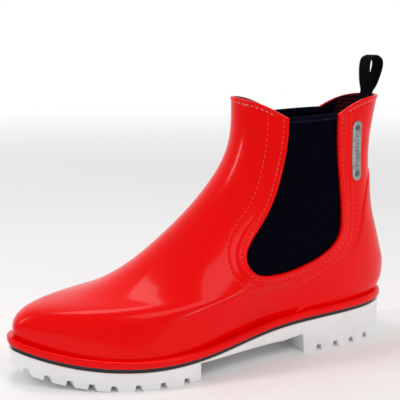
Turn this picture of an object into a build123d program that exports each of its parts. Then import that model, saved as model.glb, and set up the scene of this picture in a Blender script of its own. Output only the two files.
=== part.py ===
"""Rubber rain boot, Chelsea style, one left boot of about EU 39.

Millimetres. Toe towards -Y, outer (lateral) side towards +X, +Z up, standing on Z = 0.
The boot is defined by a last: heel and instep lines in side view, half-widths on each side,
and a twist that turns the ankle outwards. Every wall is a layer between two offsets of it.
"""
from build123d import *
import math
import os

import numpy as np

# ---- driving dimensions -------------------------------------------------------------------
LENGTH = 286.0            # outsole, heel to toe
Y_HEEL = LENGTH / 2       # Y of the back of the heel; s is measured from here towards the toe
SHELL = 2.2               # rubber wall of the upper
LINING = 1.3              # knitted lining and elastic, behind the rubber
OVERLAY = 0.8             # heel counter and gore surrounds, laid on the outside
STRIPE = 2.9              # black midsole plate
STRIPE_IN = 1.2           # how far its edge lies inside the sole's
WELT_H = 5.2              # red welt above the stripe
WELT_OUT = 1.4            # how far it stands out past the sole
BOARD = 1.6               # insole board
FOAM = 4.0                # footbed foam
COVER = 1.0               # footbed cover
RIM_TURN = 20.0           # degrees that the ankle opening is turned outwards
RIM_CENTRE_Y = 77.0       # middle of the ankle opening

# ---- the last -----------------------------------------------------------------------------
# Each level is a closed ring through a point of the heel line and one of the instep line.
LEVELS = [0, 0.08, 0.17, 0.27, 0.38, 0.50, 0.62, 0.74, 0.87, 1.0]
HEEL_LINE = [(3, 32), (-2, 40), (-3, 48), (-2, 56), (2, 66), (7, 79), (13, 97), (16, 119),
             (17, 148), (10.8, 186)]                                     # (s, z)
INSTEP_LINE = [(283, 30.5), (283, 40), (271, 49), (241, 53), (206, 65), (173, 87), (147, 110),
               (128, 135), (121, 161), (121, 191)]                    # (s, z)
# Half-widths at every fifth of a ring's length from heel to toe, times the sine of its angle.
FIFTHS = [0, 0.2, 0.4, 0.6, 0.8, 1.0]
WIDTH_LEVELS = [0, 0.17, 0.38, 0.62, 0.80, 1.0]
OUTER_WIDTHS = [(48, 39, 35, 47, 52, 30), (46, 41, 38, 48, 48, 40), (41, 39, 39, 45, 45, 40),
                (36, 35, 35, 36, 37, 36), (35, 33, 33, 34, 34, 34), (36, 35, 36, 36, 35, 34)]
INNER_WIDTHS = [(49, 37, 25, 35, 52, 64), (46, 38, 31, 42, 54, 55), (41, 36, 34, 40, 46, 48),
                (36, 33, 32, 34, 37, 38), (35, 32, 32, 33, 34, 34), (36, 35, 36, 36, 35, 34)]
TWIST_LEVELS = [0, 0.3, 0.5, 0.74, 1.0]
TWIST = [0, 1, 4, 9, 13]                                              # degrees
FOOT_END = 0.45           # above this level the rings no longer follow the sole's curve

# ---- the sole -----------------------------------------------------------------------------
SOLE_S = [-20, 0, 60, 110, 150, 190, 225, 255, 286, 306]
SOLE_Z = [24.6, 24.4, 23.7, 20.4, 15.0, 11.8, 12.1, 14.9, 23.4, 32.4]         # top of the outsole
SOLE_OUTER = (54, 43, 39, 51, 56, 33)                                 # half-widths, as above
SOLE_INNER = (55, 41, 28.5, 39, 56.5, 70)
BREAST_S = 86.0           # front face of the heel
WAIST = [(86, 14), (104, 11.5), (122, 8), (138, 5.5)]                 # underside of the waist
TREAD_REAR = [(139, 3.4), (158, 1.8), (182, 0)]                       # forefoot tread, lug tips
TREAD_TOE = [(232, 0), (252, 2.2), (268, 5.4), (280, 9.5), (286, 13), (300, 25)]
LUG_DEPTH = 4.0
LUG_GAP = 5.0             # width of a groove at the ground
LUG_GAP_TOP = 3.0         # and at its root
HEEL_GROOVES = [27, 42, 57, 72]                                       # s
FOREFOOT_GROOVES = [150, 168, 184.5, 201, 217, 231.5, 244, 256, 268, 279]

# ---- ankle opening and gores --------------------------------------------------------------
# Height of the rim against the distance q along the turned opening, front (-) to back (+);
# it runs straight across the gores, from the end of one list to the start of the next.
RIM_FRONT = [(-75, 181), (-55, 180), (-45, 178.3), (-36, 175.5), (-27, 171.3), (-18.2, 166.5)]
RIM_BACK = [(17.5, 168.8), (26.7, 174.2), (36, 178), (46, 180), (56, 180.6), (75, 181)]
# Outer gore window in side view (y, z), from its top front corner round to the top back one.
WINDOW = [(48, 200), (47.8, 165), (46.5, 146), (43, 131), (36, 113), (24.5, 96), (12.8, 82.5),
          (9, 73), (13, 65.5), (24, 62.3), (42, 62.8), (60, 66.5), (76, 73), (85.5, 82),
          (88, 95), (87, 115), (84.5, 137), (82.6, 160), (82.5, 200)]
INNER_SHIFT = 8.0         # the inner window lies this much further back at its foot,
INNER_LEAN = 0.135        # and leans back this much more for each millimetre of height
WINDOW_FOOT = 63.0
SURROUND = 6.0            # width of the raised band around a window
SEAM = 2.8                # stitch line's distance from the window's edge
THREAD = 0.8
GORE_LAP = 10.0           # elastic hidden behind the rubber
BINDING_H = 4.0           # tape folded over the elastic's top edge
BINDING_T = 0.45
COUNTER = [(9, 131), (20, 126), (29, 110), (33.5, 94), (36.5, 83), (46, 66), (59, 52),
           (79, 37), (96, 26)]                                        # front edge (s, z)

# ---- badge and pull loop ------------------------------------------------------------------
BADGE_AT = (30.5, 100.5, 142.0)
BADGE_NORMAL = (0.944, 0.328, -0.04)
BADGE_TURN = 4.0          # degrees that its top leans forwards
BADGE_W, BADGE_H, BADGE_T = 8.7, 43.0, 1.2
RIVET_SPAN = 33.0
RIVET_D, RIVET_HEAD_D, RIVET_HEAD_H = 2.2, 4.2, 1.0
WASHER_D, WASHER_T = 6.5, 0.6
WEBBING_W, WEBBING_T = 13.0, 1.3
# Half of the hoop's outside in side view, from its fold up to its top, and half of its slot.
HOOP = [(1.6, 0), (3.5, 4.5), (5.3, 11), (6.3, 17.5), (5.2, 23.5), (0, 26.3)]
HOOP_SLOT = [(0, 2.4), (2.4, 6), (4.0, 11), (5.0, 17.5), (4.1, 22.8), (0, 25)]
LOOP_LEAN = 9.0           # degrees that the hoop leans back
TAB_DEPTH = 24.0          # how far the webbing's ends reach down inside
EDGE_SEAM = 2.0           # stitches' distance from the webbing's edge
LOOP_X, LOOP_Y = 8.0, 125.9   # rearmost place inside the rim
HINGE_Z = 182.7           # the hoop's fold, just above the rim
THREAD_T = 0.4            # thread standing proud of what it holds

# ---- how the solids are made --------------------------------------------------------------
OUTER, INNER = 1, -1      # sides of the boot, as signs of X
SIDES = ((OUTER, "outer"), (INNER, "inner"))
RING_POINTS = 24          # points round each ring of the last
RING_LEVELS = list(np.linspace(0, 0.4, 11)) + list(np.linspace(0.46, 1, 10))
STEEPEST = 0.3            # limits how far a wall moves within a ring that nearly lies in it
BASE_Z = 6.0              # the last is carried straight down to here
TOP_RISE = 4.0            # and this far above its top ring
SOLE_POINTS = 40          # points round the sole's outline
REACH = 90.0              # half-length of a prism pushed across the boot
TALL = 240.0              # higher than the whole boot
WINDOW_INSIDE = 2.0       # a window's prism starts this far from the middle plane
WINDOW_GAP = 0.4          # tape's clearance to the window's edges
HEEL_FLOOR = 9.0          # rubber under the heel's sponge
HEEL_POCKET = (38.0, 58.0, 16.0)   # width, length and corner radius
HEEL_POCKET_S = 45.0
BREAST_HOLLOW_R, BREAST_HOLLOW, BREAST_HOLLOW_H = 60.0, 5.0, 12.0
SEAM_Y = 52.0             # where vamp and quarter linings meet
BADGE_REACH = 12.0        # half-length of the badge's and rivets' columns
TAIL_D, TAIL_H = 4.0, 0.8     # peened end of a rivet
TAB_REACH = 40.0          # front to back length of the block that holds the webbing's ends
COUNTER_BACK = 30.0       # the counter's profile runs this far past the heel
GROOVE_UNDER = 6.0        # a tread groove's cutter starts this far under the ground
SKIN_GAP = 0.2            # clearance between the welt and what is laid on the rubber
BOX_MIDDLE = (3.25, 1.2)   # middle of the boot's box, which becomes the origin


def spline(xs, ys):
    """Natural cubic spline through (xs, ys), where each y may be a tuple."""
    xs, ys = np.asarray(xs, float), np.asarray(ys, float)
    n, h = len(xs), np.diff(xs)
    matrix, rhs = np.eye(n), np.zeros_like(ys)
    for i in range(1, n - 1):
        matrix[i, i - 1:i + 2] = h[i - 1], 2 * (h[i - 1] + h[i]), h[i]
        rhs[i] = 6 * ((ys[i + 1] - ys[i]) / h[i] - (ys[i] - ys[i - 1]) / h[i - 1])
    bend = np.linalg.solve(matrix, rhs)

    def value(x):
        i = np.clip(np.searchsorted(xs, x) - 1, 0, n - 2)
        a, b, w = xs[i + 1] - x, x - xs[i], h[i]
        if ys.ndim > 1 and np.ndim(x):
            a, b, w = a[:, None], b[:, None], w[:, None]
        return ((bend[i] * a ** 3 + bend[i + 1] * b ** 3) / (6 * w)
                + (ys[i] / w - bend[i] * w / 6) * a + (ys[i + 1] / w - bend[i + 1] * w / 6) * b)
    return value


heel_line = spline(LEVELS, HEEL_LINE)
instep_line = spline(LEVELS, INSTEP_LINE)
outer_widths = spline(WIDTH_LEVELS, OUTER_WIDTHS)
inner_widths = spline(WIDTH_LEVELS, INNER_WIDTHS)
twist = spline(TWIST_LEVELS, TWIST)
sole_top = spline(SOLE_S, SOLE_Z)


def half_width(outer, inner, angles):
    """Share of a ring's length from its heel end, and its signed half-width, at each angle."""
    share = (1 - np.cos(angles)) / 2
    factor = np.where(np.sin(angles) >= 0, spline(FIFTHS, outer)(share), spline(FIFTHS, inner)(share))
    return share, factor * np.sin(angles)


def ring(angles, level, follow_sole=True):
    """Points of the last: angle 0 is the heel, 90 degrees the outer side, 180 the toe."""
    (heel_s, heel_z), (toe_s, toe_z) = heel_line(level), instep_line(level)
    share, x = half_width(outer_widths(level), inner_widths(level), angles)
    s = heel_s + (toe_s - heel_s) * share
    z = heel_z + (toe_z - heel_z) * share
    if follow_sole and level < FOOT_END:
        chord = sole_top(heel_s) * (1 - share) + sole_top(toe_s) * share
        z = z + (sole_top(s) - chord) * (1 - level / FOOT_END) ** 2
    turn = math.radians(twist(level))
    along = (heel_s + toe_s) / 2 - s
    centre = Y_HEEL - (heel_s + toe_s) / 2
    return np.stack([x * math.cos(turn) + along * math.sin(turn),
                     centre - x * math.sin(turn) + along * math.cos(turn), z], axis=1)


def unit(vectors):
    return vectors / np.linalg.norm(vectors, axis=-1, keepdims=True)


def wall_ring(angles, level, depth):
    """A ring at a depth under the last's surface, moved within its own plane."""
    step = 1e-3
    along = ring(angles + step, level) - ring(angles - step, level)
    up = ring(angles, min(level + step, 1)) - ring(angles, max(level - step, 0))
    normal = unit(np.cross(along, up))
    heel, outer, toe, inner = ring(np.radians([0, 90, 180, 270]), level, False)
    flat = ring(angles + step, level, False) - ring(angles - step, level, False)
    outward = unit(np.cross(flat, np.cross(outer - inner, toe - heel)))
    facing = np.abs(np.sum(normal * outward, axis=1, keepdims=True))
    return ring(angles, level) - outward * depth / np.maximum(facing, STEEPEST)


def closed_curve(points):
    return Wire([Edge.make_spline([Vector(*map(float, p)) for p in points], periodic=True)])


def ring_wire(points):
    """A ring as two half curves that meet smoothly at heel and toe, all rings alike in their knots."""
    half = len(points) // 2
    at = [Vector(*map(float, p)) for p in points]
    heel, toe = (at[1] - at[-1]) * (half / 2), (at[half + 1] - at[half - 1]) * (half / 2)
    knots = [i / half for i in range(half + 1)]
    return Wire([Edge.make_spline(at[:half + 1], [heel, toe], parameters=knots, scale=False),
                 Edge.make_spline(at[half:] + at[:1], [toe, heel], parameters=knots, scale=False)])


def last_solid(depth):
    """The last, shrunk by a depth on every side and carried straight down to BASE_Z."""
    angles = np.arange(RING_POINTS) * 2 * math.pi / RING_POINTS
    rings = [wall_ring(angles, level, depth) for level in RING_LEVELS]
    base = rings[0].copy()
    base[:, 2] = BASE_Z - depth
    top = rings[-1] + (0, 0, TOP_RISE + depth)
    return Solid.make_loft([ring_wire(points) for points in [base] + rings + [top]], ruled=True)


# ---- prisms: every layer is cut to shape by a profile pushed through the boot --------------
SIDE = Plane.YZ                                   # side view: local x is Y, local y is Z
TURN = math.radians(RIM_TURN)
RIM_SIDE = Plane(origin=(0, RIM_CENTRE_Y, 0), x_dir=(math.sin(TURN), math.cos(TURN), 0),
                 z_dir=(math.cos(TURN), -math.sin(TURN), 0))


def prism(edges, plane, start, end):
    """Solid swept along a plane's normal from start to end, over the face inside the edges."""
    return plane.offset(start) * extrude(make_face(edges), end - start, dir=(0, 0, 1))


def open_outline(points):
    """A smooth curve through the points, closed by a straight line."""
    return [Spline(*points), Line(points[-1], points[0])]


def sole_band(low, high):
    """Everything between two heights above the top of the outsole, across the boot."""
    lower = [(Y_HEEL - s, z + low) for s, z in zip(SOLE_S, SOLE_Z)]
    upper = [(Y_HEEL - s, z + high) for s, z in zip(SOLE_S, SOLE_Z)]
    edges = [Spline(*lower), Line(lower[-1], upper[-1]), Spline(*upper), Line(upper[0], lower[0])]
    return prism(edges, SIDE, -REACH, REACH)


def above_rim(rise=0.0):
    """Everything higher than a distance above the rim of the ankle opening."""
    front = [(q, z + rise) for q, z in RIM_FRONT]
    back = [(q, z + rise) for q, z in RIM_BACK]
    edges = [Spline(*front), Line(front[-1], back[0]), Spline(*back),
             Polyline(back[-1], (back[-1][0], TALL), (front[0][0], TALL), front[0])]
    return prism(edges, RIM_SIDE, -REACH, REACH)


def grown(points, distance):
    """An open outline, its outside on the right of its direction, moved outwards by a distance."""
    pts = np.asarray(points, float)
    tangent = unit(np.gradient(pts, axis=0))
    return [tuple(map(float, p)) for p in pts + distance * np.stack([tangent[:, 1], -tangent[:, 0]], 1)]


def window(side, distance=0.0):
    """Side-view prism of a gore window on the outer (+1) or inner (-1) side, grown by a distance."""
    points = [(y, z) for y, z in WINDOW]
    if side < 0:
        points = [(y + INNER_SHIFT + INNER_LEAN * (z - WINDOW_FOOT), z) for y, z in points]
    points = grown(points, distance)
    start, end = (WINDOW_INSIDE, REACH) if side > 0 else (-REACH, -WINDOW_INSIDE)
    return prism(open_outline(points), SIDE, start, end)


def sole_prism(growth, low, high):
    """The sole's outline, grown sideways and at both ends, as an upright prism."""
    angles = (np.arange(SOLE_POINTS) + 0.5) * 2 * math.pi / SOLE_POINTS
    share, x = half_width(SOLE_OUTER, SOLE_INNER, angles)
    points = np.stack([x, Y_HEEL - LENGTH * share], axis=1)
    tangent = unit(np.roll(points, -1, axis=0) - np.roll(points, 1, axis=0))
    points = points + growth * np.stack([-tangent[:, 1], tangent[:, 0]], axis=1)
    outline = closed_curve([(px, py, low) for px, py in points])
    return extrude(Face(outline), high - low, dir=(0, 0, 1))


def largest(shape):
    """The main solid of a cut, without splinters."""
    return max(shape.solids(), key=lambda solid: solid.volume)


# ---- sole ---------------------------------------------------------------------------------
def make_outsole():
    def at(points):
        return [(Y_HEEL - s, z) for s, z in points]
    top = at(zip(SOLE_S, SOLE_Z))
    waist, rear, toe = at(WAIST), at(TREAD_REAR), at(TREAD_TOE)
    edges = [Spline(*top), Line(top[-1], toe[-1]), Spline(*toe), Line(toe[0], rear[-1]),
             Spline(*rear), Line(rear[0], waist[-1]), Spline(*waist),
             Polyline(waist[0], at([(BREAST_S - 1, 0)])[0], (top[0][0], 0), top[0])]
    body = sole_prism(0, -1, 60) & prism(edges, SIDE, -REACH, REACH)
    hollow_y = Y_HEEL - BREAST_S - BREAST_HOLLOW_R + BREAST_HOLLOW
    body -= Pos(0, hollow_y, 0) * disc(2 * BREAST_HOLLOW_R, 2 * BREAST_HOLLOW_H)
    tread_toe = spline(*zip(*TREAD_TOE))
    tread_rear = spline(*zip(*TREAD_REAR))
    for s in HEEL_GROOVES + FOREFOOT_GROOVES:
        ground = 0.0
        if s > TREAD_TOE[0][0]:
            ground = float(tread_toe(s))
        elif BREAST_S < s < TREAD_REAR[-1][0]:
            ground = float(tread_rear(s))
        body -= groove(s, ground)
    body -= heel_pocket(HEEL_FLOOR, 60)
    return largest(body)


def groove(s, ground):
    """A channel across the tread, wider at the ground than at its root."""
    y, low, root = Y_HEEL - s, ground - GROOVE_UNDER, ground + LUG_DEPTH
    wide = LUG_GAP / 2 + (LUG_GAP - LUG_GAP_TOP) / 2 * GROOVE_UNDER / LUG_DEPTH
    outline = Polyline((y - wide, low), (y + wide, low), (y + LUG_GAP_TOP / 2, root),
                       (y - LUG_GAP_TOP / 2, root), close=True)
    return prism(outline, SIDE, -REACH, REACH)


def heel_pocket(low, high):
    """Rounded block inside the heel, the space of its sponge filler."""
    return Pos(0, Y_HEEL - HEEL_POCKET_S, low) * extrude(RectangleRounded(*HEEL_POCKET), high - low)


def wall(outer, inner, foot, rise=0.0):
    """The layer between two depths of the last, from a height above the sole up to the rim."""
    solid = (last_solid(outer) & sole_band(foot, TALL)) - above_rim(rise)
    return solid - last_solid(inner)


def side_area(edges):
    return prism(edges, SIDE, -REACH, REACH)


def make_upper(foot):
    """Rubber shell with both gore windows, and what is laid on its outside."""
    parts = {}
    shell = wall(0, SHELL, foot) - window(OUTER) - window(INNER)
    parts["upper_shell"] = largest(shell)
    skin = wall(-OVERLAY, 0, foot + WELT_H + SKIN_GAP)
    for side, name in SIDES:
        parts[name + "_gore_surround"] = largest((skin & window(side, SURROUND)) - window(side))
    front = [(Y_HEEL - s, z) for s, z in COUNTER]
    back = Y_HEEL + COUNTER_BACK
    edges = [Spline(*front), Polyline(front[-1], (back, front[-1][1]), (back, front[0][1]), front[0])]
    parts["heel_counter"] = largest(skin & side_area(edges))
    thread = wall(-OVERLAY - THREAD_T, -OVERLAY, foot + WELT_H)
    for side, name in SIDES:
        line = (thread & window(side, SEAM + THREAD)) - window(side, SEAM)
        parts[name + "_gore_stitching"] = largest(line)
    return parts


def make_lining(foot):
    """The layer behind the rubber: elastic gores, taped along their top, and two linings."""
    parts = {}
    layer = wall(SHELL, SHELL + LINING, foot)
    for side, name in SIDES:
        lap = window(side, GORE_LAP)
        parts[name + "_gore"] = largest(layer & lap)
        layer = layer - lap
    front = side_area(Polyline((SEAM_Y, 0), (SEAM_Y, TALL), (-LENGTH, TALL), (-LENGTH, 0), close=True))
    parts["vamp_lining"] = largest(layer & front)
    parts["quarter_lining"] = largest(layer - front)
    return parts


def make_bindings(gores):
    """Tape folded over the top edge of each gore, thicker than the elastic on both faces."""
    parts = {}
    fold = wall(SHELL - BINDING_T, SHELL + LINING + BINDING_T, STRIPE, BINDING_T) & above_rim(-BINDING_H)
    for side, name in SIDES:
        tape = (fold & window(side, -WINDOW_GAP)) - gores[name + "_gore"]
        parts[name + "_gore_binding"] = largest(tape)
    return parts


def disc(diameter, height):
    return Cylinder(diameter / 2, height)


def make_badge():
    """Metal plate bent to the ankle, two rivets through it, and a washer behind each.

    Everything follows the curve of the wall: each piece is a column cut between two offsets.
    """
    upright = Plane(origin=BADGE_AT, x_dir=(-BADGE_NORMAL[1], BADGE_NORMAL[0], 0), z_dir=BADGE_NORMAL)
    plane = upright.rotated((0, 0, BADGE_TURN))
    outline = plane.offset(-BADGE_REACH) * extrude(SlotOverall(BADGE_H, BADGE_W, rotation=90),
                                                   2 * BADGE_REACH, dir=(0, 0, 1))
    plate_top, inside = last_solid(-BADGE_T), last_solid(SHELL + LINING)
    washer_foot = last_solid(SHELL + LINING + WASHER_T)
    head_top = last_solid(-BADGE_T - RIVET_HEAD_H)
    tail_foot = last_solid(SHELL + LINING + WASHER_T + TAIL_H)
    plate = (plate_top & outline) - last_solid(0)
    rivets, washers, holes = [], [], []
    for rise in (-RIVET_SPAN / 2, RIVET_SPAN / 2):
        axis = plane * Pos(0, rise, 0)
        bore = axis * disc(RIVET_D, 2 * BADGE_REACH)
        shank = (plate_top & bore) - washer_foot
        head = (head_top & (axis * disc(RIVET_HEAD_D, 2 * BADGE_REACH))) - plate_top
        tail = (washer_foot & (axis * disc(TAIL_D, 2 * BADGE_REACH))) - tail_foot
        washer = (inside & (axis * disc(WASHER_D, 2 * BADGE_REACH))) - bore - washer_foot
        rivets.append(largest(shank + head + tail))
        washers.append(largest(washer))
        holes.append(bore)
    return largest(plate - holes[0] - holes[1]), rivets, washers, holes


def make_pull_loop():
    """Webbing folded in two and sewn inside the back of the ankle, and its hoop above the rim."""
    hollow, folded = last_solid(SHELL + LINING), 2 * WEBBING_T
    middle = Pos(LOOP_X, LOOP_Y, HINGE_Z - TAB_DEPTH / 2)
    block = middle * Box(WEBBING_W, TAB_REACH, TAB_DEPTH) - above_rim()
    tab = (block & hollow) - Pos(0, -folded, 0) * hollow
    wide, high = WEBBING_W - 2 * EDGE_SEAM, TAB_DEPTH - 5 * EDGE_SEAM
    frame = Box(wide, TAB_REACH, high) - Box(wide - 2 * THREAD, TAB_REACH, high - 2 * THREAD)
    stitches = (middle * frame & Pos(0, -folded, 0) * hollow) - Pos(0, -folded - THREAD_T, 0) * hollow
    rim = Spline(*HOOP, *[(-w, h) for w, h in HOOP[-2::-1]])
    foot = HOOP[0][0]
    fold = ThreePointArc((-foot, 0), (0, -WEBBING_T), (foot, 0))
    slot = Spline(*HOOP_SLOT, *[(-w, h) for w, h in HOOP_SLOT[-2:0:-1]], periodic=True)
    ribbon = make_face([rim, fold]) - make_face(slot)
    side = Plane(origin=(LOOP_X, LOOP_Y, HINGE_Z), x_dir=(0, 1, 0), z_dir=(1, 0, 0))
    lean = Rot(0, 0, -LOOP_LEAN)
    hoop = side.offset(-WEBBING_W / 2) * lean * extrude(ribbon, WEBBING_W, dir=(0, 0, 1))
    return {"pull_loop_tab": largest(tab), "pull_loop_stitching": largest(stitches),
            "pull_loop": largest(hoop)}


def build():
    parts = {"outsole": make_outsole()}
    parts["heel_filler"] = largest(heel_pocket(HEEL_FLOOR, 60) & sole_band(-40, 0))
    parts["midsole_stripe"] = largest(sole_prism(-STRIPE_IN, 5, 60) & sole_band(0, STRIPE))
    foot = STRIPE
    welt = sole_prism(WELT_OUT, 5, 60) & sole_band(foot, foot + WELT_H)
    parts["welt_band"] = largest(welt - last_solid(0))
    parts.update(make_upper(foot))
    parts["insole_board"] = largest(last_solid(SHELL) & sole_band(foot, foot + BOARD))
    foot += BOARD
    parts.update(make_lining(foot))
    parts.update(make_bindings(parts))
    inside = last_solid(SHELL + LINING)
    parts["footbed_foam"] = largest(inside & sole_band(foot, foot + FOAM))
    parts["footbed_cover"] = largest(inside & sole_band(foot + FOAM, foot + FOAM + COVER))
    parts.update(make_pull_loop())
    parts["badge_plate"], rivets, washers, holes = make_badge()
    for node in ("upper_shell", "quarter_lining"):
        parts[node] = largest(parts[node] - holes[0] - holes[1])
    parts["badge_rivets"] = Compound(children=rivets)
    parts["rivet_washers"] = Compound(children=washers)
    return parts


if __name__ == "__main__":
    os.makedirs("parts", exist_ok=True)
    for node, shape in build().items():
        centred = shape.moved(Location((-BOX_MIDDLE[0], -BOX_MIDDLE[1], 0)))
        export_step(centred, "parts/" + node + ".step")
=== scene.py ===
"""Looks of the rubber rain boot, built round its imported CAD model.

Lengths are millimetres in the boot's design frame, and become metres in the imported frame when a
mesh is made. The last is the same formula as the CAD model's, so every layer lies where its
CAD solid is. Fields are signed distances in side view or height: positive is kept.
"""
from itertools import chain
import math

import bmesh
import bpy
import numpy as np
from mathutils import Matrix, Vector
from mathutils.bvhtree import BVHTree


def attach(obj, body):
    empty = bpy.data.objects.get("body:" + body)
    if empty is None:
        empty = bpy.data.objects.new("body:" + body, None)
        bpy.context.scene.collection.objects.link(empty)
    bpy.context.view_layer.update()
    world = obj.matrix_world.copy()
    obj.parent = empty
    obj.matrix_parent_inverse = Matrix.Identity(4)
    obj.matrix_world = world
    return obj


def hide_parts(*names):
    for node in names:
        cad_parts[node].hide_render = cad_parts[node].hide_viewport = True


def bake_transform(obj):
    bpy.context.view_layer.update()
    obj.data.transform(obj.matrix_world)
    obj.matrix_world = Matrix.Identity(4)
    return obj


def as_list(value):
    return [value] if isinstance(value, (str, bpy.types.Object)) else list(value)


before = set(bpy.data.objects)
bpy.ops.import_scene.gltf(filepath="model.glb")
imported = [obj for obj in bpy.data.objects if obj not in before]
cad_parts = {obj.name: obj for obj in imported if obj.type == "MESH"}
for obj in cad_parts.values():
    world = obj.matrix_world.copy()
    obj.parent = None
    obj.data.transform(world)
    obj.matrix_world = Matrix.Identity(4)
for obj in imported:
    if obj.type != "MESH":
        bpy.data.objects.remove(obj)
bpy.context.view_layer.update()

# ---- dimensions shared with the CAD model -------------------------------------------------
LENGTH = 286.0
Y_HEEL = LENGTH / 2
SHELL, LINING, OVERLAY = 2.2, 1.3, 0.8
STRIPE, BOARD, FOAM, COVER = 2.9, 1.6, 4.0, 1.0
RIM_TURN, RIM_CENTRE_Y = math.radians(20), 77.0
BOX_MIDDLE = (3.25, 1.2)

LEVELS = [0, 0.08, 0.17, 0.27, 0.38, 0.50, 0.62, 0.74, 0.87, 1.0]
HEEL_LINE = [(3, 32), (-2, 40), (-3, 48), (-2, 56), (2, 66), (7, 79), (13, 97), (16, 119),
             (17, 148), (10.8, 186)]
INSTEP_LINE = [(283, 30.5), (283, 40), (271, 49), (241, 53), (206, 65), (173, 87), (147, 110),
               (128, 135), (121, 161), (121, 191)]
FIFTHS = [0, 0.2, 0.4, 0.6, 0.8, 1.0]
WIDTH_LEVELS = [0, 0.17, 0.38, 0.62, 0.80, 1.0]
OUTER_WIDTHS = [(48, 39, 35, 47, 52, 30), (46, 41, 38, 48, 48, 40), (41, 39, 39, 45, 45, 40),
                (36, 35, 35, 36, 37, 36), (35, 33, 33, 34, 34, 34), (36, 35, 36, 36, 35, 34)]
INNER_WIDTHS = [(49, 37, 25, 35, 52, 64), (46, 38, 31, 42, 54, 55), (41, 36, 34, 40, 46, 48),
                (36, 33, 32, 34, 37, 38), (35, 32, 32, 33, 34, 34), (36, 35, 36, 36, 35, 34)]
TWIST_LEVELS, TWIST = [0, 0.3, 0.5, 0.74, 1.0], [0, 1, 4, 9, 13]
FOOT_END = 0.45
SOLE_S = [-20, 0, 60, 110, 150, 190, 225, 255, 286, 306]
SOLE_Z = [24.6, 24.4, 23.7, 20.4, 15.0, 11.8, 12.1, 14.9, 23.4, 32.4]
SOLE_OUTER = (54, 43, 39, 51, 56, 33)
SOLE_INNER = (55, 41, 28.5, 39, 56.5, 70)

RIM_FRONT = [(-75, 181), (-55, 180), (-45, 178.3), (-36, 175.5), (-27, 171.3), (-18.2, 166.5)]
RIM_BACK = [(17.5, 168.8), (26.7, 174.2), (36, 178), (46, 180), (56, 180.6), (75, 181)]
WINDOW = [(48, 200), (47.8, 165), (46.5, 146), (43, 131), (36, 113), (24.5, 96), (12.8, 82.5),
          (9, 73), (13, 65.5), (24, 62.3), (42, 62.8), (60, 66.5), (76, 73), (85.5, 82),
          (88, 95), (87, 115), (84.5, 137), (82.6, 160), (82.5, 200)]
INNER_SHIFT, INNER_LEAN, WINDOW_FOOT = 8.0, 0.135, 63.0
SURROUND, SEAM, GORE_LAP = 6.0, 3.2, 10.0
BINDING_H, BINDING_T = 4.0, 0.45
COUNTER = [(9, 131), (20, 126), (29, 110), (33.5, 94), (36.5, 83), (46, 66), (59, 52),
           (79, 37), (96, 26)]
BADGE_AT, BADGE_NORMAL = (30.5, 100.5, 142.0), (0.944, 0.328, -0.04)
BADGE_TURN = math.radians(4)
BADGE_W, BADGE_H, BADGE_T = 8.7, 43.0, 1.2
RIVET_SPAN, RIVET_HEAD_D, RIVET_HEAD_H = 33.0, 4.2, 1.0
WEBBING_W, WEBBING_T, TAB_DEPTH = 13.0, 1.3, 24.0
HOOP = [(0.95, 0), (2.9, 4.6), (4.65, 11), (5.65, 17.5), (4.65, 23.1), (0, 25.65)]
LOOP_LEAN = math.radians(9)
LOOP_X, LOOP_Y, HINGE_Z = 8.0, 125.9, 182.7

# ---- dimensions of the looks --------------------------------------------------------------
OUTER, INNER = 1, -1
EDGE_ROUND = 0.9          # rounding of the rubber's edges
FAR_LINE = 12.0           # second moulded line round a window
LINE_W, LINE_D = 1.1, 0.35
RIM_LINE = 3.4            # moulded line under the rim
STEP = 1.0                # width over which an overlay's edge falls
BEAD_H, BEAD_D, BEAD_FALL = 1.9, 0.35, 0.8   # bead along the rim
ROUND_RING = 0.35         # extra line of vertices in a rounded edge
LAYER_GAP = 0.02          # between two layers that lie on each other
LINING_DROP, ELASTIC_DROP = 0.3, 0.2         # from the rim down to the cloth's edge
SEW_STEP, SEW_UP = 3.7, 0.1                  # spacing of the red stitches, and how far they stand out
BLACK_STITCH_L, BLACK_STITCH_W = 1.5, 0.45
TAPE_SEAM = 1.2           # from the tape's lower edge up to its stitches
SEWN_BOX_HALF, SEWN_BOX_FOOT, SEWN_BOX_TOP = 4.4, 4, 7   # the box of stitches on the webbing
BADGE_BORDER, BORDER_SOFT, BORDER_UP = (0.9, 1.5), 0.3, 0.12
BADGE_SUNK = 0.15         # how far the badge's field lies below its full thickness
SIDE_RAYS, LOOP_RAYS = 120.0, 70.0           # where rays to the side wall and to the back wall start
WELT_TOP = 40             # red stitches end at this height
FAR_AWAY = 20.0           # distances to a window aren't measured beyond this
STRAIGHT = 100.0          # millimetres per unit of level, below the last's foot and above its top
GORE_LEAN = 0.19          # slope of the elastic's ribs in side view
RIB, RIB_HEIGHT = 1.5, 0.16
KNIT, KNIT_HEIGHT = 2.3, 0.32
KNIT_FROM, KNIT_GROWS = 95.0, 20.0   # height where the lining's ribs begin, and how soon they are full
WEAVE_STEP, WEAVE_ACROSS, WEBBING_RIB = 0.45, 1.35, 2.8
LEAVES_WALL, LEAVES_OVER = 176.0, 10.0       # height where the webbing parts from the back wall
GORE_Y, GORE_Z = (-6.0, 92.0), (50, 176)     # part of the side view that an elastic's grid covers
CHEVRONS, CHEVRON_STEP = 4, 2.6   # marks inlaid each side of the badge's middle, and their spacing
CHEVRON_W, CHEVRON_L, CHEVRON_SLOPE = 1.5, 1.7, 0.7
SLIVER = 2e-3             # values closer to a cut than this lie on it
SAME_PLACE = 1e-9         # numbers this close count as equal
NUDGE = 1e-3              # change of angle or level over which a slope is taken
ROUND = (0.0, 2 * math.pi)  # where a patch round the boot closes on itself


def smooth(x):
    x = np.clip(x, 0, 1)
    return x * x * (3 - 2 * x)


def unit(vectors):
    return vectors / np.linalg.norm(vectors, axis=-1, keepdims=True)


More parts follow.
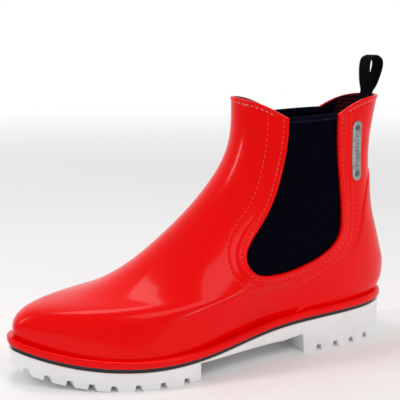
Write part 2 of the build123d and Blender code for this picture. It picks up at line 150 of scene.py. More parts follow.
# ---- the last -----------------------------------------------------------------------------
def spline(xs, ys):
    """Natural cubic spline through (xs, ys), as a function of an array. A y may be a tuple."""
    xs, ys = np.asarray(xs, float), np.asarray(ys, float).reshape(len(xs), -1)
    n, h = len(xs), np.diff(xs)
    matrix, rhs = np.eye(n), np.zeros_like(ys)
    for i in range(1, n - 1):
        matrix[i, i - 1:i + 2] = h[i - 1], 2 * (h[i - 1] + h[i]), h[i]
        rhs[i] = 6 * ((ys[i + 1] - ys[i]) / h[i] - (ys[i] - ys[i - 1]) / h[i - 1])
    bend = np.linalg.solve(matrix, rhs)

    def value(x):
        x = np.asarray(x, float)
        i = np.clip(np.searchsorted(xs, x) - 1, 0, n - 2)
        a, b, w = (xs[i + 1] - x)[:, None], (x - xs[i])[:, None], h[i][:, None]
        return ((bend[i] * a ** 3 + bend[i + 1] * b ** 3) / (6 * w)
                + (ys[i] / w - bend[i] * w / 6) * a + (ys[i + 1] / w - bend[i + 1] * w / 6) * b)
    return value


heel_line, instep_line = spline(LEVELS, HEEL_LINE), spline(LEVELS, INSTEP_LINE)
twist = spline(TWIST_LEVELS, TWIST)
level_weights = spline(WIDTH_LEVELS, np.eye(len(WIDTH_LEVELS)))
share_weights = spline(FIFTHS, np.eye(len(FIFTHS)))
sole_spline = spline(SOLE_S, SOLE_Z)


def sole_top(s):
    return sole_spline(s)[:, 0]


def last_point(angles, levels, follow_sole=True):
    """Points of the last: angle 0 is the heel, 90 degrees the outer side, 180 the toe."""
    angles, levels = np.broadcast_arrays(np.asarray(angles, float), np.asarray(levels, float))
    inside = np.clip(levels, 0, 1)
    heel, toe = heel_line(inside), instep_line(inside)
    share = (1 - np.cos(angles)) / 2
    weights = level_weights(inside)
    outer, inner = weights @ np.array(OUTER_WIDTHS, float), weights @ np.array(INNER_WIDTHS, float)
    across = np.where(np.sin(angles)[:, None] >= 0, outer, inner)
    x = np.sum(across * share_weights(share), axis=1) * np.sin(angles)
    s = heel[:, 0] + (toe[:, 0] - heel[:, 0]) * share
    z = heel[:, 1] + (toe[:, 1] - heel[:, 1]) * share
    if follow_sole:
        chord = sole_top(heel[:, 0]) * (1 - share) + sole_top(toe[:, 0]) * share
        z = z + (sole_top(s) - chord) * np.clip(1 - inside / FOOT_END, 0, 1) ** 2
    z = z + (levels - inside) * STRAIGHT
    turn = np.radians(twist(inside)[:, 0])
    along = (heel[:, 0] + toe[:, 0]) / 2 - s
    centre = Y_HEEL - (heel[:, 0] + toe[:, 0]) / 2
    return np.stack([x * np.cos(turn) + along * np.sin(turn),
                     centre - x * np.sin(turn) + along * np.cos(turn), z], axis=1)


def wall(params, depth=0.0):
    """Points at a depth under the last's surface, for rows of (angle, level)."""
    angles, levels = params[:, 0], params[:, 1]
    held = np.clip(levels, 0, 1)
    along = last_point(angles + NUDGE, held) - last_point(angles - NUDGE, held)
    up = last_point(angles, np.minimum(held + NUDGE, 1)) - last_point(angles, np.maximum(held - NUDGE, 0))
    normal = unit(np.cross(along, up))
    corners = [last_point(np.full_like(angles, a), held, False) for a in np.radians([0, 90, 180, 270])]
    flat = last_point(angles + NUDGE, held, False) - last_point(angles - NUDGE, held, False)
    outward = unit(np.cross(flat, np.cross(corners[1] - corners[3], corners[2] - corners[0])))
    facing = np.abs(np.sum(normal * outward, axis=1))
    shift = depth / np.maximum(facing, 0.3)
    return last_point(angles, levels) - outward * shift[:, None]


# ---- fields -------------------------------------------------------------------------------
def run_along(line):
    """Distance from a line's start to each of its points."""
    return np.concatenate([[0], np.cumsum(np.linalg.norm(np.diff(line, axis=0), axis=1))])


def points_at(distances, line):
    """Points of a line at distances from its start."""
    run = run_along(line)
    return np.stack([np.interp(distances, run, column) for column in line.T], axis=1)


def curve(points, count):
    """Evenly spaced points of a smooth curve through the given ones."""
    points = np.array(points, float)
    knots = run_along(points)
    fine = spline(knots, points)(np.linspace(0, knots[-1], 8 * count))
    return points_at(np.linspace(0, run_along(fine)[-1], count), fine)


def window_outline(side):
    """A gore window's edge in side view, from its top front corner down and up to the top back."""
    points = WINDOW
    if side == INNER:
        points = [(y + INNER_SHIFT + INNER_LEAN * (z - WINDOW_FOOT), z) for y, z in WINDOW]
    return curve(points, 130)


OUTLINES = {side: window_outline(side) for side in (OUTER, INNER)}


def distance_to(points, line):
    """Distance to a side-view polyline, positive on the right of its direction."""
    best, sign = np.full(len(points), np.inf), np.ones(len(points))
    for a, b in zip(line[:-1], line[1:]):
        edge = b - a
        t = np.clip(((points - a) @ edge) / (edge @ edge), 0, 1)
        off = points - a - t[:, None] * edge
        gap = np.hypot(off[:, 0], off[:, 1])
        closer = gap < best - SAME_PLACE
        best = np.where(closer, gap, best)
        side = edge[1] * (points[:, 0] - a[0]) - edge[0] * (points[:, 1] - a[1])
        sign = np.where(closer, np.where(side >= 0, 1.0, -1.0), sign)
    return best * sign


WINDOW_SIGN = -np.sign(distance_to(np.array([[60.0, 110.0]]), OUTLINES[OUTER])[0])


def outside_window(points, side):
    """Signed distance outside a window's edge, for points of the boot."""
    line = OUTLINES[side]
    low, high = line.min(0) - FAR_AWAY, line.max(0) + FAR_AWAY
    near = (points[:, 0] * side > 2) & np.all((points[:, 1:] > low) & (points[:, 1:] < high), axis=1)
    result = np.full(len(points), FAR_AWAY)
    result[near] = distance_to(points[near][:, 1:], line) * WINDOW_SIGN
    return result


def outside_windows(points):
    """Signed distance outside the nearer of the two windows' edges."""
    return np.minimum(outside_window(points, OUTER), outside_window(points, INNER))


rim_front, rim_back = spline(*zip(*RIM_FRONT)), spline(*zip(*RIM_BACK))


def rim_height(points):
    """Height of the ankle opening's rim over each point."""
    q = points[:, 0] * math.sin(RIM_TURN) + (points[:, 1] - RIM_CENTRE_Y) * math.cos(RIM_TURN)
    (q0, z0), (q1, z1) = RIM_FRONT[-1], RIM_BACK[0]
    across = z0 + (z1 - z0) * (q - q0) / (q1 - q0)
    return np.where(q < q0, rim_front(np.minimum(q, q0))[:, 0],
                    np.where(q > q1, rim_back(np.maximum(q, q1))[:, 0], across))


def below_rim(points):
    return rim_height(points) - points[:, 2]


counter_line = curve([(Y_HEEL - s, z) for s, z in COUNTER], 70)
COUNTER_SIGN = np.sign(distance_to(np.array([[130.0, 60.0]]), counter_line)[0])


def behind_counter(points):
    """Signed distance into the heel counter from its front edge, in side view."""
    return distance_to(points[:, 1:], counter_line) * COUNTER_SIGN


# ---- meshes from two parameters -----------------------------------------------------------
class Patch:
    """A mesh over two parameters, which can be cut along the zero line of a field."""

    def __init__(self, us, vs, place, seam=None):
        grid_u, grid_v = np.meshgrid(us, vs, indexing="ij")
        self.params = np.stack([grid_u.ravel(), grid_v.ravel()], axis=1)
        rows = len(vs)
        corner = (np.arange(len(us) - 1)[:, None] * rows + np.arange(rows - 1)[None]).ravel()
        quads = np.stack([corner, corner + rows, corner + rows + 1, corner + 1], axis=1)
        self.faces = [tuple(face) for face in quads.tolist()]
        self.place, self.points, self.seam = place, place(self.params), seam
        self.locked = self.on_seam()

    def on_seam(self):
        """Which vertices lie where the patch closes on itself."""
        if self.seam is None:
            return np.zeros(len(self.params), bool)
        return np.min(np.abs(self.params[:, :1] - self.seam), axis=1) < SAME_PLACE

    def cut(self, field, at=0.0, keep=None):
        """Adds an edge along field = at; keep=+1 or -1 drops the other side."""
        values = field(self.points) - at
        moved = self._snap(values)
        if len(moved):
            self.points[moved] = self.place(self.params[moved])
            values[moved] = field(self.points[moved]) - at
        values[np.abs(values) < SLIVER] = 0.0
        signs = np.sign(values).astype(int)
        high, low = self._face_range(signs)
        mixed = (high > 0) & (low < 0)
        whole = ~mixed & (True if keep is None else (high > 0 if keep > 0 else low < 0))
        faces = [self.faces[k] for k in np.flatnonzero(whole)]
        new_params, new_of, count = [], {}, len(self.params)

        def crossing(i, j):
            key = (min(i, j), max(i, j))
            if key not in new_of:
                new_of[key] = count + len(new_params)
                a, b = key
                t = values[a] / (values[a] - values[b])
                new_params.append(self.params[a] + t * (self.params[b] - self.params[a]))
            return new_of[key]

        for face in (self.faces[k] for k in np.flatnonzero(mixed)):
            above, below = [], []
            for i, j in zip(face, face[1:] + face[:1]):
                if signs[i] >= 0:
                    above.append(i)
                if signs[i] <= 0:
                    below.append(i)
                if signs[i] * signs[j] < 0:
                    above.append(crossing(i, j))
                    below.append(above[-1])
            for part, side in ((above, 1), (below, -1)):
                if len(part) > 2 and (keep is None or keep == side):
                    faces.append(tuple(part))
        self.locked |= values == 0
        if new_params:
            self.params = np.vstack([self.params, new_params])
            self.points = np.vstack([self.points, self.place(np.array(new_params))])
            self.locked = np.concatenate([self.locked, np.ones(len(new_params), bool)])
        self.faces = faces
        return self

    def _face_range(self, values):
        """The highest and lowest value at each face's corners."""
        sizes = np.array([len(face) for face in self.faces])
        flat = values[np.fromiter(chain.from_iterable(self.faces), int, sizes.sum())]
        starts = np.cumsum(sizes) - sizes
        return np.maximum.reduceat(flat, starts), np.minimum.reduceat(flat, starts)

    def _snap(self, values):
        """Moves free vertices that lie close to the zero line onto it, so that no face is a sliver."""
        high, low = self._face_range(values)
        crossed = [self.faces[k] for k in np.flatnonzero((high > 0) & (low < 0))]
        pairs = {(min(i, j), max(i, j)) for face in crossed
                 for i, j in zip(face, face[1:] + face[:1]) if values[i] * values[j] < 0}
        moved = {}
        for i, j in sorted(pairs):
            w = values[i] / (values[i] - values[j])
            near, far, part = (i, j, w) if w < 0.5 else (j, i, 1 - w)
            if part < 0.25 and not self.locked[near] and part < moved.get(near, (1,))[0]:
                moved[near] = (part, far)
        for near, (part, far) in moved.items():
            self.params[near] = self.params[near] + part * (self.params[far] - self.params[near])
        return np.array(sorted(moved), int)

    def tidy(self):
        """Drops vertices that no face uses."""
        used = np.unique(np.fromiter(chain.from_iterable(self.faces), int))
        index = np.full(len(self.params), -1)
        index[used] = np.arange(len(used))
        self.params, self.points, self.locked = self.params[used], self.points[used], self.locked[used]
        self.faces = [tuple(index[list(face)].tolist()) for face in self.faces]
        return self


def closed_faces(faces, count, seam=None):
    """Faces of a thin closed body: a top, its mirror image and a wall along every open edge.

    Where the sheet closes on itself, at the vertices marked as seam, it gets no wall.
    """
    edges = {(i, j) for face in faces for i, j in zip(face, face[1:] + face[:1])}
    border = [(i, j) for face in faces for i, j in zip(face, face[1:] + face[:1])
              if (j, i) not in edges and not (seam is not None and seam[i] and seam[j])]
    back = [tuple(i + count for i in reversed(face)) for face in faces]
    walls = [(j, i, i + count, j + count) for i, j in border]
    return list(faces) + back + walls


def grid_faces(rows, columns):
    """Quads between the points of a grid, which is listed row by row."""
    return [(i * columns + j, i * columns + j + 1, (i + 1) * columns + j + 1, (i + 1) * columns + j)
            for i in range(rows - 1) for j in range(columns - 1)]


def tube_faces(first, rings, turns):
    """Faces of a tube with two flat ends, whose rings of points start at index first."""
    faces = [(a + j, a + (j + 1) % turns, a + turns + (j + 1) % turns, a + turns + j)
             for a in range(first, first + (rings - 1) * turns, turns) for j in range(turns)]
    end = first + (rings - 1) * turns
    return faces + [tuple(reversed(range(first, first + turns))), tuple(range(end, end + turns))]


def add_piece(name, mesh, body, slot, replaces):
    """Puts a mesh in the scene, makes it ride on a body and hides the parts that it stands for. What it is
    made of (the slot) is not used.
    """
    piece = bpy.data.objects.new(name, mesh)
    bpy.context.scene.collection.objects.link(piece)
    if body:
        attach(piece, body)
    if replaces:
        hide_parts(*replaces)
    return piece


def make_object(name, points, faces, material, body, slot, replaces=(), weld=None, sharp=None):
    """A mesh object from design-frame points, riding on a body."""
    mesh = bpy.data.meshes.new(name)
    place = (np.asarray(points, float) - (BOX_MIDDLE[0], BOX_MIDDLE[1], 0)) / 1000
    mesh.from_pydata(place.tolist(), [], [list(face) for face in faces])
    work = bmesh.new()
    work.from_mesh(mesh)
    if weld:
        bmesh.ops.remove_doubles(work, verts=work.verts, dist=weld / 1000)
    bmesh.ops.recalc_face_normals(work, faces=work.faces)
    work.to_mesh(mesh)
    work.free()
    mesh.shade_smooth()
    if sharp:
        mesh.set_sharp_from_angle(angle=math.radians(sharp))
    mesh.materials.append(material)
    return add_piece(name, mesh, body, slot, replaces)


# ---- side-view projection -----------------------------------------------------------------
def surface_tree(depth):
    """The wall at a depth, as a tree for ray casting."""
    patch = Patch(np.linspace(*ROUND, 361), np.linspace(-0.05, 1.1, 150), lambda params: wall(params, depth))
    return BVHTree.FromPolygons([Vector(point) for point in patch.points], patch.faces)


TREES = {}


def cast(origins, direction, depth):
    """Where rays from the origins first meet the wall at a depth."""
    if depth not in TREES:
        TREES[depth] = surface_tree(depth)
    direction = Vector(direction).normalized()
    result = np.array(origins, float)
    for k, origin in enumerate(result.copy()):
        hit = TREES[depth].ray_cast(Vector(origin), direction)[0]
        if hit is not None:
            result[k] = hit
    return result


def on_side(side, yz, depth):
    """Wall points at side-view places, on the outer or inner side of the boot."""
    origins = np.column_stack([np.full(len(yz), SIDE_RAYS * side), yz])
    return cast(origins, (-side, 0, 0), depth)


def side_frame(side, yz, depth, step=1.0):
    """Wall points and their outward unit normals at side-view places."""
    yz = np.asarray(yz, float)
    here = on_side(side, yz, depth)
    along = on_side(side, yz + (step, 0), depth) - on_side(side, yz - (step, 0), depth)
    up = on_side(side, yz + (0, step), depth) - on_side(side, yz - (0, step), depth)
    return here, unit(np.cross(along, up)) * side


# ---- materials ----------------------------------------------------------------------------
def fill(node, **values):
    """Sets inputs of a node. A keyword's underscores stand for spaces."""
    for key, value in values.items():
        node.inputs[key.replace("_", " ")].default_value = value


class Nodes:
    """Short spellings for building one material."""

    def __init__(self, name):
        self.material = bpy.data.materials.new(name)
        self.material.use_nodes = True
        self.tree = self.material.node_tree
        self.tree.nodes.clear()
        self.shader = self.add("ShaderNodeBsdfPrincipled")
        self.out = self.add("ShaderNodeOutputMaterial")
        self.link(self.shader.outputs[0], self.out.inputs["Surface"])
        self.place = self.add("ShaderNodeTexCoord").outputs["Object"]

    def add(self, kind, **values):
        node = self.tree.nodes.new(kind)
        for key, value in values.items():
            setattr(node, key, value)
        return node

    def link(self, source, target):
        self.tree.links.new(source, target)

    def set(self, **values):
        fill(self.shader, **values)

    def noise(self, scale, detail=3.0, roughness=0.5, stretch=None):
        node = self.add("ShaderNodeTexNoise")
        fill(node, Scale=scale, Detail=detail, Roughness=roughness)
        source = self.place
        if stretch:
            mapping = self.add("ShaderNodeMapping")
            fill(mapping, Scale=stretch)
            self.link(self.place, mapping.inputs["Vector"])
            source = mapping.outputs[0]
        self.link(source, node.inputs["Vector"])
        return node.outputs["Fac"]

    def wave(self, scale, axis="X", distortion=0.0):
        node = self.add("ShaderNodeTexWave", bands_direction=axis)
        fill(node, Scale=scale, Distortion=distortion, Detail_Scale=2.0)
        self.link(self.place, node.inputs["Vector"])
        return node.outputs["Fac"]

    def math(self, operation, a, b):
        node = self.add("ShaderNodeMath", operation=operation)
        for socket, value in zip(node.inputs, (a, b)):
            if isinstance(value, (int, float)):
                socket.default_value = value
            else:
                self.link(value, socket)
        return node.outputs[0]

    def ramp(self, factor, stops, target):
        node = self.add("ShaderNodeValToRGB")
        while len(node.color_ramp.elements) < len(stops):
            node.color_ramp.elements.new(0.5)
        for element, (place, colour) in zip(node.color_ramp.elements, stops):
            element.position = place
            element.color = (*colour, 1) if len(colour) == 3 else colour
        self.link(factor, node.inputs["Fac"])
        self.link(node.outputs["Color"], self.shader.inputs[target])

    def span(self, factor, low, high, target):
        node = self.add("ShaderNodeMapRange")
        fill(node, To_Min=low, To_Max=high)
        self.link(factor, node.inputs["Value"])
        self.link(node.outputs[0], self.shader.inputs[target])

    def bump(self, height, distance, strength=1.0):
        node = self.add("ShaderNodeBump")
        fill(node, Strength=strength, Distance=distance)
        self.link(height, node.inputs["Height"])
        self.link(node.outputs[0], self.shader.inputs["Normal"])


def red_rubber():
    """Glossy moulded PVC: clear coat over a saturated body, with faint flow marks and scuffs."""
    m = Nodes("red_rubber")
    m.ramp(m.noise(14, 4), [(0.3, (0.80, 0.0, 0.0)), (0.7, (0.90, 0.0, 0.0))], "Base Color")
    m.span(m.noise(60, 5, 0.6), 0.2, 0.3, "Roughness")
    m.bump(m.noise(900, 2), 0.00002, 0.3)
    m.set(Coat_Weight=0.16, Coat_Roughness=0.07, Specular_IOR_Level=0.07,
          Subsurface_Weight=0.06, Subsurface_Scale=0.002, Subsurface_Radius=(1.0, 0.1, 0.05))
    return m.material


def waxed_thread(name, pale):
    """Red waxed thread; pale is how much lighter it is than the rubber it is sewn through. A large pale is a
    painted highlight: the whitish glint of the stitches put into the thread's colour.
    """
    m = Nodes(name)
    m.ramp(m.noise(600, 3), [(0.3, (0.80, 0.5 * pale, 0.5 * pale)), (0.7, (0.88, pale, pale))],
           "Base Color")
    m.bump(m.wave(1800, "DIAGONAL"), 0.00005, 0.6)
    m.set(Roughness=0.4, Specular_IOR_Level=0.25, Sheen_Weight=0.05)
    return m.material


def elastic():
    """Black ribbed elastic with a bluish sheen."""
    m = Nodes("elastic")
    m.ramp(m.noise(900, 2, 0.6, (1, 1, 0.25)),
           [(0.3, (0.0005, 0.0005, 0.002)), (0.75, (0.003, 0.003, 0.009))], "Base Color")
    m.bump(m.math("ADD", m.wave(900, "Z"), m.noise(2500, 1)), 0.00006, 0.8)
    m.set(Roughness=0.85, Sheen_Weight=0.01, Sheen_Roughness=0.5, Sheen_Tint=(0.25, 0.3, 0.6, 1),
          Specular_IOR_Level=0.02)
    return m.material


def woven(name, dark, light, scale=700, sheen=0.3):
    """Tight woven cloth or tape."""
    m = Nodes(name)
    weave = m.math("MULTIPLY", m.wave(scale, "Z"), m.wave(scale, "DIAGONAL"))
    m.ramp(m.math("ADD", m.math("MULTIPLY", weave, 0.6), m.math("MULTIPLY", m.noise(500, 2), 0.5)),
           [(0.2, dark), (0.9, light)], "Base Color")
    m.bump(weave, 0.00012, 0.7)
    m.set(Roughness=0.8, Sheen_Weight=sheen, Sheen_Roughness=0.4, Specular_IOR_Level=0.04)
    return m.material


def knit():
    """Lining: black ribbed knit, with a red sheen painted into its colour in rows."""
    m = Nodes("lining_knit")
    rows = m.math("MULTIPLY", m.wave(110, "Z", 1.5), 0.6)
    fluff = m.math("MULTIPLY", m.noise(700, 3, 0.6), 0.5)
    # The two red stops are a painted sheen along the rows; the near-black stop is the knit's own colour.
    m.ramp(m.math("ADD", rows, fluff),
           [(0.4, (0.003, 0.001, 0.0015)), (0.65, (0.035, 0.002, 0.004)), (0.9, (0.11, 0.004, 0.007))],
           "Base Color")
    m.bump(m.math("MULTIPLY", m.wave(650, "DIAGONAL"), m.noise(1800, 2)), 0.00012, 0.8)
    m.set(Roughness=0.88, Sheen_Weight=0.03, Sheen_Roughness=0.5, Specular_IOR_Level=0.05)
    return m.material


def white_rubber():
    """Matt white rubber of the sole, with tone and roughness that vary at random."""
    m = Nodes("white_rubber")
    m.ramp(m.noise(25, 5, 0.6), [(0.25, (0.82, 0.82, 0.82)), (0.7, (0.89, 0.89, 0.89))], "Base Color")
    m.span(m.noise(120, 4), 0.42, 0.6, "Roughness")
    m.bump(m.noise(1500, 2), 0.00003, 0.4)
    m.set(Specular_IOR_Level=0.35, Subsurface_Weight=0.05, Subsurface_Scale=0.002)
    return m.material


def black_rubber():
    """Satin black rubber."""
    m = Nodes("black_rubber")
    m.ramp(m.noise(80, 4), [(0.3, (0.004, 0.004, 0.008)), (0.7, (0.012, 0.012, 0.018))], "Base Color")
    m.span(m.noise(200, 3), 0.3, 0.45, "Roughness")
    m.bump(m.noise(1500, 2), 0.00002, 0.3)
    return m.material


def brushed_metal(name, shade):
    """Brushed steel with grooves along the badge and worn places. Shade 1 is the badge's, less is darker."""
    m = Nodes(name)
    brush = m.noise(300, 4, 0.7, (12, 12, 0.4))
    m.ramp(m.noise(250, 3), [(0.3, (0.30 * shade, 0.31 * shade, 0.30 * shade)),
                             (0.75, (0.50 * shade, 0.52 * shade, 0.50 * shade))], "Base Color")
    m.span(brush, 0.25, 0.5, "Roughness")
    m.bump(brush, 0.00003, 0.5)
    m.set(Metallic=1.0, Anisotropic=0.4)
    return m.material


def foam():
    """Closed-cell foam."""
    m = Nodes("sponge")
    node = m.add("ShaderNodeTexVoronoi")
    fill(node, Scale=900)
    m.link(m.place, node.inputs["Vector"])
    m.ramp(node.outputs["Distance"], [(0.1, (0.05, 0.05, 0.05)), (0.6, (0.24, 0.24, 0.24))], "Base Color")
    m.bump(node.outputs["Distance"], 0.0002, 0.8)
    m.set(Roughness=0.95)
    return m.material


def board():
    """Pressed fibre board."""
    m = Nodes("board")
    m.ramp(m.noise(400, 6, 0.7), [(0.3, (0.30, 0.24, 0.16)), (0.7, (0.52, 0.44, 0.33))], "Base Color")
    m.bump(m.noise(900, 4, 0.7), 0.0001, 0.6)
    m.set(Roughness=0.9)
    return m.material


RED, ELASTIC, KNIT_CLOTH = red_rubber(), elastic(), knit()
WHITE, BLACK = white_rubber(), black_rubber()
METAL, DARK_METAL = brushed_metal("badge_metal", 1.0), brushed_metal("rivet_metal", 0.4)
WEBBING = woven("webbing", (0.0008, 0.0008, 0.002), (0.006, 0.006, 0.013), 420, 0.015)
TAPE = woven("binding_tape", (0.0008, 0.0008, 0.004), (0.006, 0.006, 0.022), 900, 0.015)
FOOTBED = woven("footbed_cloth", (0.02, 0.02, 0.022), (0.075, 0.075, 0.08), 600, 0.3)
# The second thread's whitish pink is a painted highlight, the glint on the rim's stitches put into its
# colour.
THREAD_RED, THREAD_GLINT_PAINTED = waxed_thread("red_thread", 0.05), waxed_thread("glint_painted_thread", 0.3)
THREAD_BLACK = woven("black_thread", (0.004, 0.004, 0.006), (0.03, 0.03, 0.045), 2500, 0.4)
SPONGE, FIBRE = foam(), board()


# ---- rubber upper -------------------------------------------------------------------------
def edge_round(distance, radius=EDGE_ROUND):
    """How far a surface drops as it nears an edge, for a rounded corner."""
    inside = np.clip(radius - distance, 0, radius)
    return radius - np.sqrt(radius ** 2 - inside ** 2)


def moulded_line(distance, at):
    """Depth of a shallow moulded channel that follows a field's line."""
    return LINE_D * smooth(1 - np.abs(distance - at) / (LINE_W / 2))


def line_edges(at):
    """Where a moulded line begins, is deepest and ends."""
    return at - LINE_W / 2, at, at + LINE_W / 2


def relief(points):
    """How deep the rubber's outer face lies under the last: negative where it stands proud."""
    window, rim = outside_windows(points), below_rim(points)
    band = 1 - smooth((window - SURROUND + STEP / 2) / STEP)
    counter = smooth((behind_counter(points) + STEP / 2) / STEP)
    depth = -OVERLAY * np.maximum(band, counter)
    depth = depth + moulded_line(window, SEAM) + moulded_line(window, FAR_LINE) * (rim > RIM_LINE)
    depth = depth + moulded_line(rim, RIM_LINE) * (window > SURROUND)
    depth = depth - BEAD_D * (1 - smooth((rim - BEAD_H) / BEAD_FALL)) * (window > SURROUND)
    depth = depth + edge_round(window) + edge_round(rim)
    return depth


def window_field(side):
    """Signed distance outside one window, as a field of points."""
    return lambda points: outside_window(points, side)


def make_shell():
    """The red upper with its overlays as one skin, cut along every line where its relief changes."""
    levels = np.concatenate([[-0.05, -0.03, -0.01], np.linspace(0.006, 1.02, 112)])
    patch = Patch(np.linspace(*ROUND, 321), levels, wall, seam=ROUND)
    patch.cut(below_rim, 0, keep=1)
    for side in (OUTER, INNER):
        patch.cut(window_field(side), 0, keep=1)
    for at in (ROUND_RING, EDGE_ROUND, BEAD_H, BEAD_H + BEAD_FALL, *line_edges(RIM_LINE)):
        patch.cut(below_rim, at)
    for side in (OUTER, INNER):
        for at in (ROUND_RING, EDGE_ROUND, *line_edges(SEAM), SURROUND - STEP / 2, SURROUND + STEP / 2,
                   *line_edges(FAR_LINE)):
            patch.cut(window_field(side), at)
    for at in (-STEP / 2, STEP / 2):
        patch.cut(behind_counter, at)
    patch.tidy()
    outer = patch.points
    top = wall(patch.params, relief(outer))
    inner_edge = edge_round(np.minimum(outside_windows(outer), below_rim(outer)), 0.7)
    bottom = wall(patch.params, SHELL - LAYER_GAP - inner_edge)
    faces = closed_faces(patch.faces, len(top), patch.on_seam())
    return make_object("upper_rubber", np.vstack([top, bottom]), faces, RED, "boot", "red_rubber",
                       ("upper_shell", "heel_counter", "outer_gore_surround", "inner_gore_surround"),
                       weld=0.001, sharp=50)


# ---- stitches -----------------------------------------------------------------------------
def capsules(centres, along, normals, length, width, height):
    """Small rounded dashes, sunk to half their height."""
    turns, slices = 8, 6
    points, faces = [], []
    lift = unit(normals)
    along = unit(along - lift * np.sum(along * lift, axis=1, keepdims=True))
    across = np.cross(lift, along)
    stations = np.cos(np.linspace(math.pi, 0, slices))
    for centre, t, b, n in zip(centres, along, across, lift):
        faces += tube_faces(len(points), slices, turns)
        for station in stations:
            size = max(0.12, (1 - abs(station) ** 3) ** 0.5)
            for turn in np.arange(turns) * 2 * math.pi / turns:
                points.append(centre + t * station * length / 2 + b * math.cos(turn) * size * width / 2
                              + n * math.sin(turn) * size * height / 2)
    return points, faces


def stitch_row(line, spacing):
    """Centres and directions of stitches along a 3-D polyline."""
    length = run_along(line)[-1]
    count = max(2, int(length / spacing))
    at = (np.arange(count) + 0.5) * length / count
    return points_at(at, line), points_at(at + 0.5, line) - points_at(at - 0.5, line)


def nearest(centres, line):
    """For each centre, which of a line's points is closest to it."""
    return ((centres[:, None] - line[None]) ** 2).sum(2).argmin(1)


def sew(name, rows, spacing, material, slot, replaces=()):
    """One mesh of stitches. A row has its line, normals, lift off the line and a stitch's sizes."""
    points, faces = [], []
    for line, normals, lift, sizes in rows:
        centres, along = stitch_row(line, spacing)
        outward = normals[nearest(centres, line)]
        more, more_faces = capsules(centres + outward * lift, along, outward, *sizes)
        faces += [tuple(i + len(points) for i in face) for face in more_faces]
        points += more
    make_object(name, points, faces, material, "boot", slot, replaces)


def offset_outline(side, distance):
    """A window's outline moved outwards, below the rim."""
    line = OUTLINES[side]
    tangent = unit(np.gradient(line, axis=0))
    return line - np.stack([-tangent[:, 1], tangent[:, 0]], axis=1) * distance * outline_turn()


def outline_turn():
    """Which side of a window's outline is its outside: +1 or -1."""
    line = OUTLINES[OUTER]
    middle = len(line) // 2
    tangent = line[middle + 1] - line[middle - 1]
    return 1.0 if tangent[0] > 0 else -1.0


def make_gore_stitches(side, name):
    """Red stitches in the two moulded lines round a window."""
    rows = []
    for distance, length, clear in ((SEAM, 2.5, 1.6), (FAR_LINE, 2.2, RIM_LINE + 1.5)):
        line = curve(offset_outline(side, distance), 300)
        here, normals = side_frame(side, line, 0.0)
        kept = (below_rim(here) > clear) & (here[:, 2] > WELT_TOP)
        lift = OVERLAY - LINE_D if distance == SEAM else -LINE_D
        rows.append((here[kept], normals[kept], lift + SEW_UP, (length, 0.85, 0.6)))
    sew(name, rows, SEW_STEP, THREAD_RED, "red_thread", (name,))


def bisect(like, low, high, test):
    """For each element of an array, the level between two at which a test stops being true."""
    low, high = np.full_like(like, low), np.full_like(like, high)
    for _ in range(30):
        middle = (low + high) / 2
        passed = test(middle)
        low, high = np.where(passed, middle, low), np.where(passed, high, middle)
    return low


def rim_path(drop, depth):
    """The line on the wall at a drop below the rim, all round, with its normals."""
    angles = np.linspace(0, 2 * math.pi, 500)
    levels = bisect(angles, 0.6, 1.1, lambda at: below_rim(wall(np.column_stack([angles, at]))) > drop)
    params = np.column_stack([angles, levels])
    here = wall(params, depth)
    return here, unit(wall(params, depth - 1) - here)


def make_rim_stitches():
    """Stitches in the moulded line under the rim, in front of and behind the windows, in a pale thread whose
    whitish pink is a painted highlight.
    """
    line, normals = rim_path(RIM_LINE, LINE_D - SEW_UP)
    clear = outside_windows(line) > SURROUND + 2
    rows = []
    for start in np.flatnonzero(clear & ~np.roll(clear, 1)):
        stop = start
        while stop + 1 < start + len(clear) and clear[(stop + 1) % len(clear)]:
            stop += 1
        index = np.arange(start, stop + 1) % len(clear)
        rows.append((line[index], normals[index], 0.0, (2.4, 0.8, 0.6)))
    sew("rim_stitching", rows, SEW_STEP, THREAD_GLINT_PAINTED, "red_thread")


# ---- lining and elastic -------------------------------------------------------------------
def make_lining():
    """Knitted lining: ribbed rows that follow the rim, and bare behind the elastic gores."""
    levels = np.concatenate([np.linspace(-0.01, 0.6, 34)[:-1], np.linspace(0.6, 1.02, 150)])
    patch = Patch(np.linspace(*ROUND, 181), levels, wall, seam=ROUND)
    patch.cut(lambda points: below_rim(points) - LINING_DROP, 0, keep=1)
    for side in (OUTER, INNER):
        patch.cut(lambda points, side=side: outside_window(points, side) - GORE_LAP, 0, keep=1)
    patch.tidy()
    outer = patch.points
    rim = below_rim(outer)
    ribs = (KNIT_HEIGHT * (0.5 + 0.5 * np.cos(2 * math.pi * rim / KNIT))
            * smooth((outer[:, 2] - KNIT_FROM) / KNIT_GROWS))
    edge = edge_round(np.minimum(outside_windows(outer) - GORE_LAP, rim - LINING_DROP), 0.6)
    back = wall(patch.params, SHELL + LAYER_GAP)
    face = wall(patch.params, SHELL + LINING - KNIT_HEIGHT + ribs - edge)
    faces = closed_faces(patch.faces, len(back), patch.on_seam())
    return make_object("knit_lining", np.vstack([back, face]), faces, KNIT_CLOTH, "boot", "lining_knit",
                       ("vamp_lining", "quarter_lining"), weld=0.001)


def gore_outline(side):
    """The elastic's cut in side view: its window grown by the lap, up to the rim."""
    line = offset_outline(side, GORE_LAP)
    return line[below_rim(on_side(side, line, 0.0)) > 0]


